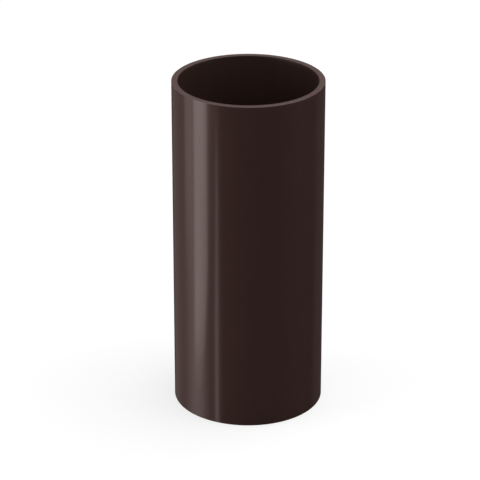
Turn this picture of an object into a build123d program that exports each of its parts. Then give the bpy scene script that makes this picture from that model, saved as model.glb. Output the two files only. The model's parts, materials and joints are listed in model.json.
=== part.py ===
from build123d import *

import os

# A short straight length of round plastic downpipe, cut square at both ends and standing on one of them.
# The origin is the centre of the lower end and +Z runs up the pipe's axis.

# Driving dimensions, in millimetres
outside_diameter = 80.0
wall_thickness = 3.2
pipe_length = 181.5
edge_round = 0.15

# Radii that follow from them
outside_radius = outside_diameter / 2
bore_radius = outside_radius - wall_thickness


def wall_section():
    """The ring of wall between the outside and the bore, the same all along the pipe."""
    return Circle(outside_radius) - Circle(bore_radius)


def downpipe():
    """The section drawn out to its length, with the two edges of each sawn end eased."""
    sawn_length = extrude(wall_section(), amount=pipe_length)
    end_edges = sawn_length.edges().filter_by(GeomType.CIRCLE)
    return fillet(end_edges, edge_round)


os.makedirs("parts", exist_ok=True)
export_step(downpipe(), "parts/downpipe.step")
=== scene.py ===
import json
import math

import bpy
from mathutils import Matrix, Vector


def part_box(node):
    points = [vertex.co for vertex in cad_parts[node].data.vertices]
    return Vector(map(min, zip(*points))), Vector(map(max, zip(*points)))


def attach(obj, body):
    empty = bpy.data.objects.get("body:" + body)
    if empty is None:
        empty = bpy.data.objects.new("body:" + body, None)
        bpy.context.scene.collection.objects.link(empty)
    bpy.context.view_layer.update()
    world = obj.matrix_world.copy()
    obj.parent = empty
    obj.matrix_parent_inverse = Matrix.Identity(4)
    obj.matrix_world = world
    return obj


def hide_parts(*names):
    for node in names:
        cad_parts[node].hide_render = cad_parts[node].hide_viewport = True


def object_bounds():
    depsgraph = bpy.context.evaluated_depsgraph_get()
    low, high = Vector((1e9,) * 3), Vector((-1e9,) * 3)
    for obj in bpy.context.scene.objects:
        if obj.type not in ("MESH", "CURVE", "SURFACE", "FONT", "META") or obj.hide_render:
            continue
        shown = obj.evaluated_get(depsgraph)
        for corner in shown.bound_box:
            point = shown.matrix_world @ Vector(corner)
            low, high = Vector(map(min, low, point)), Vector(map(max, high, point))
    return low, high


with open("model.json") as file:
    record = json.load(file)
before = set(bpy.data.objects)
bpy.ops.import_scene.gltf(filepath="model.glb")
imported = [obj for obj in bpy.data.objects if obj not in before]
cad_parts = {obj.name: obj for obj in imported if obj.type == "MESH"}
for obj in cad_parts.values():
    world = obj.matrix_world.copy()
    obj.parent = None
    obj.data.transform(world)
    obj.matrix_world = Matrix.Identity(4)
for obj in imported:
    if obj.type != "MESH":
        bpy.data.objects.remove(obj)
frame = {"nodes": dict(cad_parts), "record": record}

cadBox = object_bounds()
print("frame loaded, nodes:", sorted(frame["nodes"]))


# how far a value lies along a range, and back
def shareOf(limits, value):
    low, high = limits
    return (value - low) / (high - low)


def between(limits, share):
    low, high = limits
    return low + (high - low) * share


# small helpers for modelling
def deselectAll():
    if bpy.context.mode != "OBJECT":
        bpy.ops.object.mode_set(mode="OBJECT")
    bpy.ops.object.select_all(action="DESELECT")


def pick(piece, kind, wanted):
    # leaves the piece in edit mode with only the wanted vertices, edges or polygons selected
    kinds = ("vertices", "edges", "polygons")
    bpy.ops.object.mode_set(mode="OBJECT")
    for each in kinds:
        items = getattr(piece.data, each)
        items.foreach_set("select", [each == kind and wanted(item) for item in items])
    bpy.context.tool_settings.mesh_select_mode = [each == kind for each in kinds]
    bpy.ops.object.mode_set(mode="EDIT")


# small helpers for nodes
def newTree(owner, outputKind, place):
    # an empty node tree for a material or the world, with its output
    owner.use_nodes = True
    tree = owner.node_tree
    tree.nodes.clear()
    return tree, addNode(tree, outputKind, place)


def addNode(tree, kind, place, **settings):
    node = tree.nodes.new(kind)
    node.location = place
    for name, value in settings.items():
        setattr(node, name, value)
    return node


def link(tree, source, output, target, socket):
    tree.links.new(source.outputs[output], target.inputs[socket])


def mapRange(tree, source, output, place, fromRange=(0, 1), toRange=(0, 1), **settings):
    node = addNode(tree, "ShaderNodeMapRange", place, **settings)
    node.inputs["From Min"].default_value, node.inputs["From Max"].default_value = fromRange
    node.inputs["To Min"].default_value, node.inputs["To Max"].default_value = toRange
    link(tree, source, output, node, "Value")
    return node


def multiply(tree, first, second, place):
    node = addNode(tree, "ShaderNodeMath", place, operation="MULTIPLY")
    link(tree, first, 0, node, 0)
    link(tree, second, 0, node, 1)
    return node


# camera, fitted to the outline of the pipe and of its rim
cameraView = {
    "lens": 180.0,  # mm
    "sensor": 36.0,  # mm
    "elevation": 24.23,  # degrees above the horizon
    "distance": 1.2799,  # metres from the middle of the pipe
    "sideStep": -0.00437,  # metres, to the camera's right
    "upStep": -0.00015,  # metres, along the camera's own upright
}


def addCamera():
    tilt = math.radians(cameraView["elevation"])
    middle = (cadBox[0] + cadBox[1]) / 2
    back = Vector((0, -math.cos(tilt), math.sin(tilt)))
    upright = Vector((0, math.sin(tilt), math.cos(tilt)))
    place = middle + back * cameraView["distance"] + upright * cameraView["upStep"]
    place.x += cameraView["sideStep"]
    bpy.ops.object.camera_add(location=place, rotation=(math.pi / 2 - tilt, 0, 0))
    camera = bpy.context.object
    camera.name = "photoCamera"
    camera.data.lens = cameraView["lens"]
    camera.data.sensor_width = cameraView["sensor"]
    bpy.context.scene.camera = camera
    print("camera at", [round(value, 4) for value in place])


# the pipe: its wall section, drawn as a thin upright plate and spun round the axis
pipeShape = {
    "aroundSteps": 240,
    "lengthCuts": 27,
    "edgeRound": 0.00015,  # metres, the eased edges of the sawn ends
    "edgeSegments": 4,
    "mergeGap": 0.000005,  # metres, closes the seam of the spin
    "smoothAngle": 40,  # degrees
    "endFacing": 0.98,  # how nearly upright a face looks to count as sawn
}
finishOrder = {"outside": 0, "sawn": 1, "bore": 2}


# the pipe cut open at the back and unrolled on the image that its finishes are baked to
pipeUnrolled = {
    "mapName": "OFBake",  # the map's name
    "around": (0.01, 0.99),  # across the image, and from here on up it, as shares of its size
    "outside": (0.01, 0.46),
    "bore": (0.48, 0.91),
    "lowerEnd": (0.93, 0.955),
    "upperEnd": (0.97, 0.995),
}


def pipeSizes():
    # outside radius, bore radius, foot and length, in metres
    low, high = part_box("downpipe")
    mounts = {mount["name"]: mount for mount in frame["record"]["mounts"]}
    bore = mounts["bore"]["dims"]["r_mm"] / 1000
    return high.x, bore, low.z, high.z - low.z


def unrollPipe(pipe):
    outside, bore, foot, length = pipeSizes()
    eased = pipeShape["edgeRound"]
    layer = pipe.data.uv_layers.new(name=pipeUnrolled["mapName"])
    for polygon in pipe.data.polygons:
        isUpper = polygon.center.z > foot + length / 2
        facing = math.atan2(polygon.center.x, -polygon.center.y)
        for corner in polygon.loop_indices:
            place = pipe.data.vertices[pipe.data.loops[corner].vertex_index].co
            turn = facing + math.remainder(math.atan2(place.x, -place.y) - facing, 2 * math.pi)
            radius = place.xy.length
            if polygon.material_index == finishOrder["sawn"]:
                strip = "upperEnd" if isUpper else "lowerEnd"
                share = shareOf((bore, outside), radius)
            else:
                strip = "outside" if polygon.material_index == finishOrder["outside"] else "bore"
                inset = min(outside - radius, radius - bore)
                along = place.z - foot + (inset if isUpper else -inset)
                share = shareOf((-eased, length + eased), along)
            layer.uv[corner].vector = (
                between(pipeUnrolled["around"], turn / (2 * math.pi) + 0.5),
                between(pipeUnrolled[strip], share))


def addPipe():
    outside, bore, foot, length = pipeSizes()
    midWall = (outside + bore) / 2

    deselectAll()
    bpy.ops.mesh.primitive_plane_add(
        size=1, calc_uvs=False, location=(midWall, 0, foot + length / 2), rotation=(math.pi / 2, 0, 0))
    pipe = bpy.context.object
    pipe.name = "downpipeTube"
    pipe.scale = (outside - bore, length, 1)
    bpy.ops.object.transform_apply(location=True, rotation=True, scale=True)

    # corners eased, the face dropped, and the two long sides of the outline cut into short runs
    bpy.ops.object.mode_set(mode="EDIT")
    bpy.ops.mesh.select_all(action="SELECT")
    bpy.ops.mesh.bevel(
        offset=pipeShape["edgeRound"], segments=pipeShape["edgeSegments"], affect="VERTICES")
    bpy.ops.mesh.select_all(action="SELECT")
    bpy.ops.mesh.delete(type="ONLY_FACE")

    def isLong(edge):
        first, second = (pipe.data.vertices[index].co for index in edge.vertices)
        return abs(first.z - second.z) > length / 2

    pick(pipe, "edges", isLong)
    bpy.ops.mesh.subdivide(number_cuts=pipeShape["lengthCuts"])
    bpy.ops.mesh.select_all(action="SELECT")
    bpy.ops.mesh.spin(
        steps=pipeShape["aroundSteps"], angle=2 * math.pi, center=(0, 0, 0), axis=(0, 0, 1))
    bpy.ops.mesh.select_all(action="SELECT")
    bpy.ops.mesh.remove_doubles(threshold=pipeShape["mergeGap"])
    bpy.ops.mesh.normals_make_consistent(inside=False)
    bpy.ops.object.mode_set(mode="OBJECT")

    # wall and bore shade straight, and only the eased edges turn
    bpy.ops.object.shade_smooth_by_angle(angle=math.radians(pipeShape["smoothAngle"]))
    weighted = pipe.modifiers.new("weightedNormals", "WEIGHTED_NORMAL")
    weighted.mode = "FACE_AREA"
    weighted.keep_sharp = True
    bpy.ops.object.modifier_apply(modifier=weighted.name)

    # the eased edges take the finish of the outside or of the bore
    for finish in (outsideFinish(), sawnSheenFinish(), boreFinish()):
        pipe.data.materials.append(finish)
    for polygon in pipe.data.polygons:
        if abs(polygon.normal.z) > pipeShape["endFacing"]:
            polygon.material_index = finishOrder["sawn"]
        elif polygon.center.xy.length > midWall:
            polygon.material_index = finishOrder["outside"]
        else:
            polygon.material_index = finishOrder["bore"]
    unrollPipe(pipe)
    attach(pipe, "root")
    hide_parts("downpipe")
    print("pipe modelled,", len(pipe.data.polygons), "faces")


# effects that several finishes share
plasticGrain = {
    "cloudScale": 38.0,
    "cloudDetail": 3.0,
    "streakScale": 260.0,
    "streakDetail": 2.0,
    "streakStretch": 0.02,  # streaks change this much slower along the pipe than round it
}


def plasticTone():
    # the brown itself, a little uneven: broad clouds and faint streaks along the draw
    tree = bpy.data.node_groups.new("plasticTone", "ShaderNodeTree")
    tree.interface.new_socket("Vector", in_out="INPUT", socket_type="NodeSocketVector")
    tree.interface.new_socket("Brown", in_out="INPUT", socket_type="NodeSocketColor")
    tree.interface.new_socket("Spread", in_out="INPUT", socket_type="NodeSocketFloat")
    tree.interface.new_socket("Colour", in_out="OUTPUT", socket_type="NodeSocketColor")
    inputs = addNode(tree, "NodeGroupInput", (-900, 0))
    outputs = addNode(tree, "NodeGroupOutput", (500, 0))
    clouds = addNode(tree, "ShaderNodeTexNoise", (-500, 150))
    clouds.inputs["Scale"].default_value = plasticGrain["cloudScale"]
    clouds.inputs["Detail"].default_value = plasticGrain["cloudDetail"]
    stretch = addNode(tree, "ShaderNodeMapping", (-700, -150))
    stretch.inputs["Scale"].default_value = (1, 1, plasticGrain["streakStretch"])
    streaks = addNode(tree, "ShaderNodeTexNoise", (-500, -150))
    streaks.inputs["Scale"].default_value = plasticGrain["streakScale"]
    streaks.inputs["Detail"].default_value = plasticGrain["streakDetail"]
    both = addNode(tree, "ShaderNodeMath", (-300, 0), operation="ADD")
    centred = addNode(tree, "ShaderNodeMath", (-120, 0), operation="SUBTRACT")
    centred.inputs[1].default_value = 1.0
    swing = addNode(tree, "ShaderNodeMath", (40, 0), operation="MULTIPLY_ADD")
    swing.inputs[2].default_value = 1.0
    tinted = addNode(tree, "ShaderNodeVectorMath", (240, 0), operation="SCALE")
    link(tree, inputs, "Vector", clouds, "Vector")
    link(tree, inputs, "Vector", stretch, "Vector")
    link(tree, stretch, "Vector", streaks, "Vector")
    link(tree, clouds, "Fac", both, 0)
    link(tree, streaks, "Fac", both, 1)
    link(tree, both, 0, centred, 0)
    link(tree, centred, 0, swing, 0)
    link(tree, inputs, "Spread", swing, 1)
    link(tree, inputs, "Brown", tinted, 0)
    link(tree, swing, 0, tinted, "Scale")
    link(tree, tinted, 0, outputs, "Colour")
    return tree


dieMarks = {
    "lineDetail": 3.0,
    "lineRoughness": 0.6,
    "lineStretch": 0.006,  # lines change this much slower along the pipe than round it
    "patchScale": 60.0,
    "patchDetail": 2.0,
}


def drawLines():
    # the die's fine lines along the pipe, and the gloss that changes with them
    tree = bpy.data.node_groups.new("drawLines", "ShaderNodeTree")
    tree.interface.new_socket("Vector", in_out="INPUT", socket_type="NodeSocketVector")
    tree.interface.new_socket("Lines", in_out="INPUT", socket_type="NodeSocketFloat")
    tree.interface.new_socket("Gloss", in_out="INPUT", socket_type="NodeSocketFloat")
    tree.interface.new_socket("Swing", in_out="INPUT", socket_type="NodeSocketFloat")
    tree.interface.new_socket("Height", in_out="OUTPUT", socket_type="NodeSocketFloat")
    tree.interface.new_socket("Roughness", in_out="OUTPUT", socket_type="NodeSocketFloat")
    inputs = addNode(tree, "NodeGroupInput", (-900, 0))
    outputs = addNode(tree, "NodeGroupOutput", (500, 0))
    stretch = addNode(tree, "ShaderNodeMapping", (-700, 0))
    stretch.inputs["Scale"].default_value = (1, 1, dieMarks["lineStretch"])
    lines = addNode(tree, "ShaderNodeTexNoise", (-500, 100))
    lines.inputs["Detail"].default_value = dieMarks["lineDetail"]
    lines.inputs["Roughness"].default_value = dieMarks["lineRoughness"]
    patches = addNode(tree, "ShaderNodeTexNoise", (-500, -200))
    patches.inputs["Scale"].default_value = dieMarks["patchScale"]
    patches.inputs["Detail"].default_value = dieMarks["patchDetail"]
    mixed = addNode(tree, "ShaderNodeMath", (-300, -100), operation="ADD")
    centred = addNode(tree, "ShaderNodeMath", (-120, -100), operation="SUBTRACT")
    centred.inputs[1].default_value = 1.0
    swing = addNode(tree, "ShaderNodeMath", (60, -100), operation="MULTIPLY_ADD")
    link(tree, inputs, "Vector", stretch, "Vector")
    link(tree, stretch, "Vector", lines, "Vector")
    link(tree, inputs, "Lines", lines, "Scale")
    link(tree, inputs, "Vector", patches, "Vector")
    link(tree, lines, "Fac", mixed, 0)
    link(tree, patches, "Fac", mixed, 1)
    link(tree, mixed, 0, centred, 0)
    link(tree, centred, 0, swing, 0)
    link(tree, inputs, "Swing", swing, 1)
    link(tree, inputs, "Gloss", swing, 2)
    link(tree, lines, "Fac", outputs, "Height")
    link(tree, swing, 0, outputs, "Roughness")
    return tree


def groupNode(tree, group, place, **values):
    node = addNode(tree, "ShaderNodeGroup", place, node_tree=group)
    for name, value in values.items():
        node.inputs[name].default_value = value
    return node


def newFinish(name):
    # an empty material with its output, shader and coordinates
    material = bpy.data.materials.new(name)
    tree, output = newTree(material, "ShaderNodeOutputMaterial", (700, 0))
    shader = addNode(tree, "ShaderNodeBsdfPrincipled", (400, 0))
    place = addNode(tree, "ShaderNodeTexCoord", (-900, 0))
    link(tree, shader, "BSDF", output, "Surface")
    return material, tree, shader, place


toneGroup = plasticTone()
lineGroup = drawLines()

# drawn finishes: brown in linear light, roughness at the middle of its swing, line depth in metres
outsideLook = {
    "brown": (0.0300, 0.0154, 0.0130, 1),
    "spread": 0.10,
    "refraction": 1.53,
    "roughness": 0.15,
    "swing": 0.04,
    "lines": 420.0,  # across one metre
    "lineDepth": 0.0000025,
}
borePaintedLightLook = {
    # painted light: the bore is the same plastic as the outside, but its brown is set paler and redder to
    # make up for the shade inside the bore
    "brown": (0.0415, 0.0203, 0.0145, 1),
    "spread": 0.10,
    "refraction": 1.53,
    "roughness": 0.40,
    "swing": 0.08,
    "lines": 300.0,
    "lineDepth": 0.000004,
}


def drawnFinish(name, look):
    material, tree, shader, place = newFinish(name)
    tone = groupNode(tree, toneGroup, (-300, 150), Brown=look["brown"], Spread=look["spread"])
    lines = groupNode(
        tree, lineGroup, (-300, -150), Lines=look["lines"], Gloss=look["roughness"], Swing=look["swing"])
    bump = addNode(tree, "ShaderNodeBump", (100, -250))
    bump.inputs["Distance"].default_value = look["lineDepth"]
    shader.inputs["IOR"].default_value = look["refraction"]
    link(tree, place, "Object", tone, "Vector")
    link(tree, place, "Object", lines, "Vector")
    link(tree, tone, "Colour", shader, "Base Color")
    link(tree, lines, "Roughness", shader, "Roughness")
    link(tree, lines, "Height", bump, "Height")
    link(tree, bump, "Normal", shader, "Normal")
    return material


def outsideFinish():
    return drawnFinish("drawnOutside", outsideLook)


def boreFinish():
    return drawnFinish("drawnBore", borePaintedLightLook)


# the sawn ends are duller, with the blade's fine arcs across them, and paler: partly the cut plastic's own
# tone, partly painted sheen, the reflected haze and top light that the upper end catches put into their
# brown while their specular level is turned down
sawnSheenLook = {
    # partly painted sheen: this brown carries the reflected haze and top light of the upper end, besides the
    # cut plastic's paler tone
    "brown": (0.112, 0.070, 0.064, 1),
    "spread": 0.12,
    # turned down because part of the sheen is painted into the brown above
    "specular": 0.05,
    "roughness": 0.55,
    "swing": 0.10,
    "bladeCentre": (0.16, 0.05, 0),  # metres from the pipe's axis
    "arcs": 420.0,  # how fine they are
    "waver": 2.5,  # how far the arcs stray from true circles
    "waverDetail": 3.0,
    "waverScale": 0.4,
    # painted shade: the arcs' grooves are darkened and their ridges lightened in step with their bump
    "arcShade": 0.07,  # how much paler the ridges are, and darker the grooves
    "arcDepth": 0.000010,  # metres
}


def sawnSheenFinish():
    material, tree, shader, place = newFinish("sawnEnd")
    tone = groupNode(
        tree, toneGroup, (-300, 200), Brown=sawnSheenLook["brown"], Spread=sawnSheenLook["spread"])
    blade = addNode(tree, "ShaderNodeMapping", (-700, -150))
    blade.inputs["Location"].default_value = sawnSheenLook["bladeCentre"]
    arcs = addNode(
        tree, "ShaderNodeTexWave", (-500, -150), wave_type="RINGS", rings_direction="Z")
    arcs.inputs["Scale"].default_value = sawnSheenLook["arcs"]
    arcs.inputs["Distortion"].default_value = sawnSheenLook["waver"]
    arcs.inputs["Detail"].default_value = sawnSheenLook["waverDetail"]
    arcs.inputs["Detail Scale"].default_value = sawnSheenLook["waverScale"]
    # painted shade and light in the arcs: the brown is darkened in the grooves and lightened on the ridges
    shade = mapRange(
        tree, arcs, "Fac", (-300, 0), toRange=(1 - sawnSheenLook["arcShade"], 1 + sawnSheenLook["arcShade"]))
    shaded = addNode(tree, "ShaderNodeVectorMath", (0, 150), operation="SCALE")
    duller = sawnSheenLook["roughness"] + sawnSheenLook["swing"]
    glossier = sawnSheenLook["roughness"] - sawnSheenLook["swing"]
    gloss = mapRange(tree, arcs, "Fac", (-100, -150), toRange=(glossier, duller))
    bump = addNode(tree, "ShaderNodeBump", (100, -300))
    bump.inputs["Distance"].default_value = sawnSheenLook["arcDepth"]
    shader.inputs["Specular IOR Level"].default_value = sawnSheenLook["specular"]
    link(tree, place, "Object", tone, "Vector")
    link(tree, place, "Object", blade, "Vector")
    link(tree, blade, "Vector", arcs, "Vector")
    link(tree, tone, "Colour", shaded, 0)
    link(tree, shade, "Result", shaded, "Scale")
    link(tree, shaded, "Vector", shader, "Base Color")
    link(tree, gloss, "Result", shader, "Roughness")
    link(tree, arcs, "Fac", bump, "Height")
    link(tree, bump, "Normal", shader, "Normal")
    return material


# pale floor and pale surroundings
studio = {
    "floorSize": 8.0,  # metres
    "floorGrey": 0.86,  # as it lights the pipe
    "seenGrey": 0.43,  # as it is seen, with the lift added to make it white
    "lift": (0.65, 0.80),  # near the pipe, where the lamps light the floor, and far off
    "liftReach": (0.6, 1.6),  # metres from the pipe
    "ambient": 0.52,  # light from all round
    "background": 1.0,  # the surroundings as they are seen
}


def shownRays(tree, place):
    # 1 for what the camera sees straight, mirrored or through glass, 0 for light that falls on things
    across, down = place
    path = addNode(tree, "ShaderNodeLightPath", place)
    seen = addNode(tree, "ShaderNodeMath", (across + 180, down), operation="MAXIMUM")
    shown = addNode(tree, "ShaderNodeMath", (across + 340, down), operation="MAXIMUM")
    link(tree, path, "Is Camera Ray", seen, 0)
    link(tree, path, "Is Glossy Ray", seen, 1)
    link(tree, seen, 0, shown, 0)
    link(tree, path, "Is Transmission Ray", shown, 1)
    return shown


def floorPaper():
    material = bpy.data.materials.new("palePaper")
    tree, output = newTree(material, "ShaderNodeOutputMaterial", (600, 0))
    shown = shownRays(tree, (-900, 150))
    grey = mapRange(tree, shown, 0, (-200, 200), toRange=(studio["floorGrey"], studio["seenGrey"]))
    paper = addNode(tree, "ShaderNodeBsdfDiffuse", (150, 150))
    place = addNode(tree, "ShaderNodeTexCoord", (-700, -150))
    away = addNode(tree, "ShaderNodeVectorMath", (-500, -150), operation="LENGTH")
    link(tree, place, "Object", away, "Vector")
    lift = mapRange(
        tree, away, "Value", (-300, -150), fromRange=studio["liftReach"], toRange=studio["lift"])
    strength = multiply(tree, shown, lift, (-50, -100))
    glow = addNode(tree, "ShaderNodeEmission", (150, -100))
    both = addNode(tree, "ShaderNodeAddShader", (400, 0))
    link(tree, grey, "Result", paper, "Color")
    link(tree, strength, 0, glow, "Strength")
    link(tree, paper, "BSDF", both, 0)
    link(tree, glow, "Emission", both, 1)
    link(tree, both, "Shader", output, "Surface")
    material.cycles.emission_sampling = "NONE"
    return material


def addFloor():
    deselectAll()
    bpy.ops.mesh.primitive_plane_add(size=studio["floorSize"], location=(0, 0, 0))
    floor = bpy.context.object
    floor.name = "paleFloor"
    floor.data.materials.append(floorPaper())
    floor.visible_glossy = False  # gloss sees the reflection drum instead


def addSurroundings():
    world = bpy.data.worlds.new("paleSurroundings")
    tree, output = newTree(world, "ShaderNodeOutputWorld", (400, 0))
    shown = shownRays(tree, (-600, 0))
    strength = mapRange(tree, shown, 0, (0, -50), toRange=(studio["ambient"], studio["background"]))
    sky = addNode(tree, "ShaderNodeBackground", (200, 0))
    sky.inputs["Color"].default_value = (1, 1, 1, 1)
    link(tree, strength, "Result", sky, "Strength")
    link(tree, sky, "Background", output, "Surface")
    bpy.context.scene.world = world


# reflection drum: a deep black cup round the pipe, with lit cards up its side, that gloss alone sees
glossDrum = {
    "radius": 0.28,  # metres
    "sides": 96,
    "bottom": -0.70,  # metres, far below the floor
    "height": 0.95,  # metres
    "gap": 0.0002,  # metres, from the drum to the first card, and from one card to the next
    "warmth": (1.0, 0.85, 0.81, 1),  # colour of the cards' light
    "reach": (-0.48, 0.36),  # metres, the heights on the wall, and past its ends, that the cards span
    "cells": (24, 150),  # across each card, and along it
}

# Each card is described by what the camera sees of it, mirrored on the wall. "foot" and "far" are its two
# sides low down and high up, in degrees from the camera's side with left negative, and "turn" the heights
# in metres between which they change. "glow" and "fade" are the same for its strength, and "soft" is the
# share of its width over which each side fades out. A card without "far" or "fade" stays the same all along.
glossCards = {
    "edgeCard": {
        "foot": (-84, -46), "soft": (0.24, 0.32),
        "glow": (0.18, 0.168), "fade": (0.02, 0.10)},
    "humpCard": {
        "foot": (-59, -29.4), "far": (-59, -26.3), "turn": (0.03, 0.16), "soft": (0.58, 0.42),
        "glow": (0.96, 0.96)},
    "shoulderCard": {
        "foot": (-55.8, -46.2), "soft": (0.24, 0.16),
        "glow": (0, 0.38), "fade": (0.055, 0.16)},
    "coreCard": {
        "foot": (-45.4, -36.4), "far": (-45.4, -30.9), "turn": (0.012, 0.096), "soft": (0.12, 0.15),
        "glow": (0, 1.22), "fade": (0.011, 0.067)},
    "topCard": {
        "foot": (-43, -32.4), "soft": (0.40, 0.15),
        "glow": (0, 0.34), "fade": (0.09, 0.20)},
    "gapCard": {
        "foot": (-40, -19), "far": (-40, -20), "turn": (0, 0.18), "soft": (0.30, 0.25),
        "glow": (0.21, 0.17), "fade": (0, 0.02)},
    "streakCard": {
        "foot": (-26.5, -22.2), "far": (-25.3, -22.8), "turn": (0.04, 0.14), "soft": (0.32, 0.46),
        "glow": (1.13, 0), "fade": (0.13, 0.187)},
    "rightCard": {
        "foot": (56, 84), "soft": (0.30, 0.10),
        "glow": (0.06, 0.06)},
}


def glowMaterial(name, card):
    # light added to what lies behind, fading across the card and changing along it
    material = bpy.data.materials.new(name)
    tree, output = newTree(material, "ShaderNodeOutputMaterial", (700, 0))
    place = addNode(tree, "ShaderNodeTexCoord", (-700, 0))
    parts = addNode(tree, "ShaderNodeSeparateXYZ", (-500, 0))
    link(tree, place, "UV", parts, "Vector")
    softLeft, softRight = card["soft"]
    reach = glossDrum["reach"]
    fade = [shareOf(reach, height) for height in card.get("fade", reach)]
    smooth = {"interpolation_type": "SMOOTHSTEP"}
    left = mapRange(tree, parts, "X", (-300, 250), fromRange=(0, softLeft), **smooth)
    right = mapRange(tree, parts, "X", (-300, 0), fromRange=(1, 1 - softRight), **smooth)
    level = mapRange(tree, parts, "Y", (-300, -250), fromRange=fade, toRange=card["glow"], **smooth)
    sides = multiply(tree, left, right, (-100, 150))
    strength = multiply(tree, sides, level, (100, 0))
    glow = addNode(tree, "ShaderNodeEmission", (300, 0))
    glow.inputs["Color"].default_value = glossDrum["warmth"]
    clear = addNode(tree, "ShaderNodeBsdfTransparent", (300, -150))
    both = addNode(tree, "ShaderNodeAddShader", (500, 0))
    link(tree, strength, 0, glow, "Strength")
    link(tree, glow, "Emission", both, 0)
    link(tree, clear, "BSDF", both, 1)
    link(tree, both, "Shader", output, "Surface")
    material.cycles.emission_sampling = "NONE"
    return material


def blackMaterial(name):
    material = bpy.data.materials.new(name)
    tree, output = newTree(material, "ShaderNodeOutputMaterial", (300, 0))
    black = addNode(tree, "ShaderNodeBsdfDiffuse", (0, 0))
    black.inputs["Color"].default_value = (0, 0, 0, 1)
    link(tree, black, "BSDF", output, "Surface")
    return material


def showToGlossAlone(plate):
    for ray in ("camera", "diffuse", "transmission", "volume_scatter", "shadow"):
        setattr(plate, "visible_" + ray, False)


def addDrum():
    deselectAll()
    bpy.ops.mesh.primitive_circle_add(
        vertices=glossDrum["sides"], radius=glossDrum["radius"], fill_type="NGON",
        location=(0, 0, glossDrum["bottom"]))
    drum = bpy.context.object
    drum.name = "reflectionDrum"
    bpy.ops.object.transform_apply(location=True, rotation=False, scale=False)
    pick(drum, "edges", lambda edge: True)
    bpy.ops.mesh.extrude_edges_move(
        TRANSFORM_OT_translate={"value": (0, 0, glossDrum["height"])})
    bpy.ops.object.mode_set(mode="OBJECT")
    drum.data.materials.append(blackMaterial("drumBlack"))
    showToGlossAlone(drum)


def smoothShare(limits, value):
    share = min(max(shareOf(limits, value), 0), 1)
    return share * share * (3 - 2 * share)


def mirroredPlace(direction, height, radius):
    # where the camera looks by way of the wall, at this distance from the pipe's axis
    turn = math.radians(direction)
    normal = Vector((math.sin(turn), -math.cos(turn), 0))
    wall = normal * cadBox[1].x + Vector((0, 0, height))
    ray = (wall - bpy.context.scene.camera.location).reflect(normal)
    outward = wall.xy.dot(ray.xy.normalized())
    run = math.sqrt(outward ** 2 + radius ** 2 - wall.xy.length_squared) - outward
    return wall + ray * (run / ray.xy.length)


def addCard(name, card, radius):
    across, along = glossDrum["cells"]
    deselectAll()
    bpy.ops.mesh.primitive_grid_add(
        x_subdivisions=across, y_subdivisions=along, size=1, location=(0, 0, 0))
    plate = bpy.context.object
    plate.name = name
    foot = card["foot"]
    far = card.get("far", foot)
    reach = glossDrum["reach"]
    for vertex in plate.data.vertices:
        height = between(reach, vertex.co.y + 0.5)
        turned = smoothShare(card.get("turn", reach), height)
        sides = [between(limits, turned) for limits in zip(foot, far)]
        direction = between(sides, vertex.co.x + 0.5)
        vertex.co = mirroredPlace(direction, height, radius)
    plate.data.materials.append(glowMaterial(name + "Glow", card))
    showToGlossAlone(plate)


# soft lamps: place, aim, size in metres and watts
softLamps = {
    "topSoftbox": {"place": (0.6, 0.1, 1.5), "aim": (0, 0, 0), "size": (1.4, 1.4), "watts": 10},
    "leftStrip": {"place": (-1.3, -0.25, 0.12), "aim": (0, 0, 0.12), "size": (0.9, 0.22), "watts": 19.5},
    "rightStrip": {"place": (1.3, -0.2, 0.12), "aim": (0, 0, 0.12), "size": (0.9, 0.22), "watts": 6.6},
}


def addLamp(name, lamp):
    place = Vector(lamp["place"])
    aim = Vector(lamp["aim"]) - place
    bpy.ops.object.light_add(
        type="AREA", location=place, rotation=aim.to_track_quat("-Z", "Y").to_euler())
    light = bpy.context.object
    light.name = name
    light.data.shape = "RECTANGLE"
    light.data.size, light.data.size_y = lamp["size"]
    light.data.energy = lamp["watts"]
    light.visible_camera = False


deselectAll()
bpy.context.scene.view_settings.view_transform = "Standard"
addCamera()
addPipe()
addFloor()
addSurroundings()
print("floor and surroundings in place")
addDrum()
for order, (cardName, cardValues) in enumerate(glossCards.items()):
    addCard(cardName, cardValues, glossDrum["radius"] - glossDrum["gap"] * (order + 1))
print("reflection drum hung with", len(glossCards), "cards")
for lampName, lampValues in softLamps.items():
    addLamp(lampName, lampValues)
print("lamps in place:", ", ".join(softLamps))
